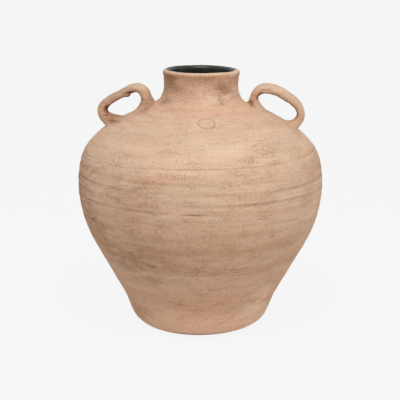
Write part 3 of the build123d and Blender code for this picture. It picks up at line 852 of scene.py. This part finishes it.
def pulled_handle(stations):
    """A loop along a line in the XZ plane. Stations are (x, z, thickness, width); the line is a cubic
    spline through them and the section at each ring is a rounded oval, thickness across the loop and width
    along Y. Returns grids of points, of their places from the line, of their share along the loop and of
    their angle (0 out of the loop, pi into it)."""
    at = np.array(stations, float)
    chord = np.append(0, np.cumsum(np.hypot(*np.diff(at[:, :2], axis=0).T)))
    where = np.linspace(0, chord[-1], HANDLE_RINGS)
    ends = at[1, :2] - at[0, :2], at[-1, :2] - at[-2, :2]
    line, _ = wall_line(at[:, :2], [math.degrees(math.atan2(*end)) for end in ends], HANDLE_RINGS)
    thick, wide = (np.interp(where, chord, at[:, k]) for k in (2, 3))
    smooth = np.hanning(SMOOTH_RINGS) / np.hanning(SMOOTH_RINGS).sum()
    pad = SMOOTH_RINGS // 2
    thick, wide = (np.convolve(np.pad(row, pad, "edge"), smooth, "valid") for row in (thick, wide))
    along = np.gradient(line, axis=0)
    along /= np.hypot(*along.T)[:, None]
    out = np.stack([-along[:, 1], along[:, 0]], -1) * np.sign(at[:, 0].mean())
    angle = np.linspace(0, 2 * np.pi, HANDLE_COLUMNS, endpoint=False)
    across = np.sign(np.cos(angle)) * np.abs(np.cos(angle)) ** SECTION_POWER
    depth = np.sign(np.sin(angle)) * np.abs(np.sin(angle)) ** SECTION_POWER
    flat = np.zeros(HANDLE_RINGS)
    centre = np.stack([line[:, 0], flat, line[:, 1]], -1)
    outward = np.stack([out[:, 0], flat, out[:, 1]], -1)
    offset = outward[:, None] * (across * thick[:, None] / 2)[..., None]
    offset[..., 1] += depth * wide[:, None] / 2
    return centre[:, None] + offset, offset, np.linspace(0, 1, HANDLE_RINGS)[:, None], angle[None, :]


def capped_tube(points, hollow, flip):
    """Faces of a tube of rings, closed at each end in one point."""
    rings, count = points.shape[:2]
    low, here = np.arange(rings - 1)[:, None], np.arange(count)
    high, there = low + 1, (here + 1) % count
    corners = [low * count + here, low * count + there, high * count + there, high * count + here]
    sides = np.stack(corners, -1).reshape(-1, 4)
    top = (rings - 1) * count
    start = np.stack([there, here, np.full(count, rings * count)], -1)
    end = np.stack([top + here, top + there, np.full(count, rings * count + 1)], -1)
    points = np.concatenate([points.reshape(-1, 3), points[0].mean(0)[None], points[-1].mean(0)[None]])
    turn_to = -1 if flip else 1
    faces = [*sides[:, ::turn_to].tolist(), *np.concatenate([start, end])[:, ::turn_to].tolist()]
    return points, faces, np.append(hollow.reshape(-1), [0, 0])


def bump_at(share, angle, at, spread, towards, turn_spread):
    """A hill on a handle: a bell curve both ways, 1 at a share of its length and an angle round it."""
    return np.exp(-((share - at) / spread) ** 2 - (angle_from(angle, towards) / turn_spread) ** 2)


def handle_piece(name, node, stations, marks, under, seed):
    """A handle from its stations and marks: (share, spread, angle, turn spread, height in mm). Marks below
    the surface get painted shade, and so does the inside of the loop by the share and reach of under, where
    the strap shades itself. Soft lumps of the hand run over all of it, as noise over LUMP_RUN from end to
    end. Returns its skin."""
    points, offset, share, angle = pulled_handle(stations)
    around, along = angle + 0 * share, share * LUMP_RUN + 0 * angle
    relief = 0.35 * clay_noise(around, along, 5, 26, seed)
    relief = relief + 0.14 * clay_noise(around, along, 12, 9, seed + 1)
    # Painted shade on the inside of the loop, under the strap.
    hollow = 3.8 * np.exp(-((around - np.pi) / 0.7) ** 4) * np.exp(-((share - under[0]) / under[1]) ** 8)
    for at, spread, towards, turn_spread, height in marks:
        hill = bump_at(share, angle, at, spread, towards, turn_spread)
        relief = relief + height * hill
        hollow = np.maximum(hollow, hill * min(1.0, max(0.0, -height / 1.5)))
    skin = points + offset / np.linalg.norm(offset, axis=-1, keepdims=True) * relief[..., None]
    flip = stations[0][0] > 0
    put_piece(name, *capped_tube(skin, hollow, flip), node, "terracotta", HANDLE_CLAY)
    return skin


right_skin = handle_piece(
    "handle_right", "right_handle",
    stations=[
        (86.9, 389.0, 15, 21), (89.5, 396.5, 14, 20), (91.2, 404, 13.6, 20), (93.6, 410, 14, 20),
        (98.4, 416.6, 15.4, 21), (105, 420.8, 17, 22), (112, 422, 17.8, 22), (123, 420.8, 17.8, 22),
        (137, 415.5, 17.6, 22), (150, 408, 17.6, 22), (161.5, 400, 16.6, 21), (169.5, 391, 15, 21),
        (173.6, 382.5, 14, 20), (174.2, 374.5, 14, 20), (171, 366.5, 15, 21), (165, 359.4, 17, 22),
        (158.5, 352.8, 19, 23)],
    marks=[
        (0.262, 0.055, 4.5, 0.13, -1.6), (0.325, 0.012, 4.42, 0.18, -1.8), (0.40, 0.06, 4.1, 0.16, -0.9),
        (0.86, 0.012, 5.0, 0.22, -1.5)],
    under=(0.52, 0.38), seed=71)
left_skin = handle_piece(
    "handle_left", "left_handle",
    stations=[
        (-86.5, 387.5, 21, 22), (-90.5, 395, 20, 22), (-94.7, 403.5, 18.4, 22), (-97.1, 410, 18.8, 22),
        (-101.6, 416.8, 18.6, 22), (-109.5, 420.8, 16.6, 21), (-117, 420.6, 16, 20), (-128, 416.3, 15, 20),
        (-141, 409.3, 14.2, 20), (-152, 403.6, 14.6, 20), (-162.4, 396.3, 15.2, 21),
        (-169.7, 388.6, 16.6, 22), (-171.8, 380, 18.2, 22), (-168.5, 371.5, 20, 23), (-162, 363.8, 20, 24),
        (-155.5, 355.5, 19, 25)],
    marks=[
        (0.43, 0.035, 3.3, 0.7, 3.2), (0.385, 0.012, 3.5, 0.6, -1.6), (0.37, 0.022, 3.95, 0.15, -2.2),
        (0.42, 0.03, 4.2, 0.17, -2.2), (0.80, 0.05, 4.2, 0.22, -1.8), (0.88, 0.04, 3.75, 0.22, -1.5),
        (0.735, 0.035, 3.75, 0.3, -2.2)],
    under=(0.62, 0.26), seed=81)


# Clay wads
# Soft terracotta thumbed into the corner round each handle root, so that the loop grows out of the
# shoulder. Each is wider on the side that was easier to reach.
LEG_RINGS = 60
WAD_ROWS = 14
WAD_ROOT, WAD_SUNK, WAD_EDGE_SUNK = 2.5, 3.0, 0.3
BEND_ROWS, BEND_SHADE = slice(5, 11), 0.25
shoulder_down = shoulder_line[::-1]


def shoulder_height(x, y):
    """Height of the shoulder's face over a point, from its line, the wobble at that angle and the dent."""
    radius, theta = np.hypot(x, y), np.arctan2(y, x)
    height = np.interp(radius, shoulder_down[:, 0], shoulder_down[:, 1])
    lean = np.interp(radius, shoulder_down[:, 0], shoulder_out[::-1, 1])
    return height + (hand_wobble(theta, height) - shoulder_dent(theta, radius)) / lean


def by_side(values, angle):
    """A value that goes smoothly from the loop's outside (angle 0) by its flanks to its inside (pi): the
    outer or inner value times cos squared, plus the flank's value times sin squared."""
    outside, flank, inside = values
    return np.where(np.cos(angle) > 0, outside, inside) * np.cos(angle) ** 2 + flank * np.sin(angle) ** 2


def wad_piece(name, node, skin, reach, climb, full, flip, seed):
    """A fillet of clay round a handle's leg, whose skin is given from the root up. At each angle round the
    leg a bent line (a quadratic curve) runs from the wall, at reach from the leg, by the corner where leg
    and wall meet, to the leg at climb above the wall. Reach and climb are (outside, flank, inside of the
    loop) in mm. Inside the loop the corner is moved by the share full towards the middle between both ends,
    which fills it."""
    count = skin.shape[1]
    column = np.arange(count)
    angle = np.linspace(0, 2 * np.pi, count, endpoint=False)
    leg = skin[:LEG_RINGS]
    foot = np.argmin(np.abs(leg[..., 2] - shoulder_height(leg[..., 0], leg[..., 1])), axis=0)
    corner = skin[foot, column]
    step = np.linalg.norm(skin[20:40] - skin[19:39], axis=-1).mean()
    ragged = 1 + 0.16 * clay_noise(angle, 0.0, 9, 40, seed)
    uneven = 1 + 0.12 * clay_noise(angle, 0.0, 7, 40, seed + 1)
    rows = foot + np.rint(by_side(climb, angle) * uneven / step)
    top = skin[rows.astype(int), column]
    away = corner[:, :2] - corner[:, :2].mean(0)
    away /= np.linalg.norm(away, axis=-1, keepdims=True)
    plan = corner[:, :2] + away * (by_side(reach, angle) * ragged)[:, None]
    edge = np.column_stack([plan, shoulder_height(*plan.T) - WAD_EDGE_SUNK])
    corner = np.column_stack([corner[:, :2], shoulder_height(*corner[:, :2].T)])
    t = np.linspace(0, 1, WAD_ROWS)[:, None, None]
    fill = full * np.clip(-np.cos(angle), 0, 1)[:, None] ** 2
    middle = corner * (1 - fill) + (edge + top) / 2 * fill
    bend = (1 - t) ** 2 * edge + 2 * t * (1 - t) * middle + t * t * top
    inwards = np.column_stack([-away, np.zeros(count)]) * WAD_ROOT
    sunk = np.array([0, 0, -WAD_SUNK])
    grid = np.concatenate([bend, [top + inwards, corner + inwards + sunk, edge + inwards + sunk]])
    rings = len(grid)
    low, there = np.arange(rings)[:, None], (column + 1) % count
    high = (low + 1) % rings
    corners = [low * count + column, low * count + there, high * count + there, high * count + column]
    faces = np.stack(corners, -1).reshape(-1, 4)[:, ::-1 if flip else 1]
    hollow = np.zeros((rings, count))
    # Painted shade in the concave bend of each fillet, the corner between leg and shoulder.
    hollow[BEND_ROWS] = BEND_SHADE
    put_piece(name, grid.reshape(-1, 3), faces.tolist(), hollow, node, "terracotta", HANDLE_CLAY)


wad_piece("wad_right_upper", "right_upper_wad", right_skin, (7, 5, 26), (10, 8, 19), 0.5, True, 91)
wad_piece("wad_right_lower", "right_lower_wad", right_skin[::-1], (3, 6, 18), (5, 9, 16), 0.0, False, 93)
wad_piece("wad_left_upper", "left_upper_wad", left_skin, (2, 6, 25), (3, 9, 16), 0.35, False, 95)
wad_piece("wad_left_lower", "left_lower_wad", left_skin[::-1], (3, 4.5, 17), (4, 9, 24), 0.75, True, 97)


# Stage
# A pale floor that runs on into a pale surround, one large soft lamp above in front, a weak one to the
# right, and the camera above the jar's mouth, looking slightly down. Sizes here are in metres.
FLOOR_HALF = 30
PAPER = fired(248, 248, 248)
ROOM_LIGHT = 0.36
FLOOR_SEEN = 0.95


def seen_directly(tree):
    """1 for rays from the camera, or from it by way of gloss or glass, and 0 for the light on the jar."""
    rays = add_node(tree, "ShaderNodeLightPath").outputs
    seen = math_node(tree, "MAXIMUM", rays["Is Camera Ray"], rays["Is Glossy Ray"])
    return math_node(tree, "MAXIMUM", seen, rays["Is Transmission Ray"])


def paper_floor():
    """Pale paper. Seen directly it is nearly its own white, with a twentieth left for the jar's shadow, and
    to the light on the jar it glows as weakly as the room."""
    material = bpy.data.materials.new("pale_floor")
    material.use_nodes = True
    tree = material.node_tree
    sheet = tree.nodes["Principled BSDF"]
    sheet.inputs["Base Color"].default_value = (0.86, 0.86, 0.86, 1)
    sheet.inputs["Roughness"].default_value = 0.9
    glow = add_node(tree, "ShaderNodeEmission", {"Color": PAPER, "Strength": 1.0})
    seen = math_node(tree, "MULTIPLY", seen_directly(tree), FLOOR_SEEN)
    share = math_node(tree, "MAXIMUM", seen, ROOM_LIGHT)
    blend = add_node(tree, "ShaderNodeMixShader", {0: share, 1: sheet.outputs[0], 2: glow.outputs[0]})
    tree.links.new(blend.outputs[0], tree.nodes["Material Output"].inputs["Surface"])
    return material


def soft_lamp(name, place, aim, size, power):
    """A round lamp of a given size at a place, turned to face the point that it is aimed at."""
    lamp = bpy.data.lights.new(name, "AREA")
    lamp.shape, lamp.size, lamp.energy = "DISK", size, power
    holder = bpy.data.objects.new(name, lamp)
    holder.location = place
    holder.rotation_euler = (Vector(aim) - Vector(place)).to_track_quat("-Z", "Y").to_euler()
    bpy.context.collection.objects.link(holder)


floor_mesh = bpy.data.meshes.new("stage_floor")
floor_corners = [(-FLOOR_HALF, -FLOOR_HALF, 0), (FLOOR_HALF, -FLOOR_HALF, 0),
                 (FLOOR_HALF, FLOOR_HALF, 0), (-FLOOR_HALF, FLOOR_HALF, 0)]
floor_mesh.from_pydata(floor_corners, [], [(0, 1, 2, 3)])
floor_mesh.materials.append(paper_floor())
stage_floor = bpy.data.objects.new("stage_floor", floor_mesh)
bpy.context.collection.objects.link(stage_floor)

world = bpy.data.worlds.new("pale_room")
bpy.context.scene.world = world
world.use_nodes = True
tree = world.node_tree
room = add_node(tree, "ShaderNodeBackground", {"Color": (1, 1, 1, 1), "Strength": ROOM_LIGHT})
backdrop = add_node(tree, "ShaderNodeBackground", {"Color": PAPER, "Strength": 1.0})
surround = {0: seen_directly(tree), 1: room.outputs[0], 2: backdrop.outputs[0]}
blend = add_node(tree, "ShaderNodeMixShader", surround)
tree.links.new(blend.outputs[0], tree.nodes["World Output"].inputs["Surface"])

soft_lamp("lamp_key", place=(0.0, -1.6, 2.6), aim=(0, 0, 0.25), size=1.8, power=50)
soft_lamp("lamp_side", place=(2.6, -1.0, 0.7), aim=(0, 0, 0.2), size=1.4, power=9)

LOOK_DOWN_DEGREES = 13.066
CAMERA_PLACE = (0, -2.1577, 0.7223)
LENS_MM, SENSOR_MM = 112.3, 36
view = bpy.data.cameras.new("camera")
view.lens, view.sensor_width = LENS_MM, SENSOR_MM
camera = bpy.data.objects.new("camera", view)
camera.location = CAMERA_PLACE
tilt, roll, pan = math.radians(90 - LOOK_DOWN_DEGREES), math.radians(0.5), math.radians(0.01)
turned_to = Matrix.Rotation(pan, 3, "Z") @ Matrix.Rotation(tilt, 3, "X") @ Matrix.Rotation(roll, 3, "Z")
camera.rotation_euler = turned_to.to_euler()
bpy.context.collection.objects.link(camera)
bpy.context.scene.camera = camera
bpy.context.scene.view_settings.view_transform = "Standard"
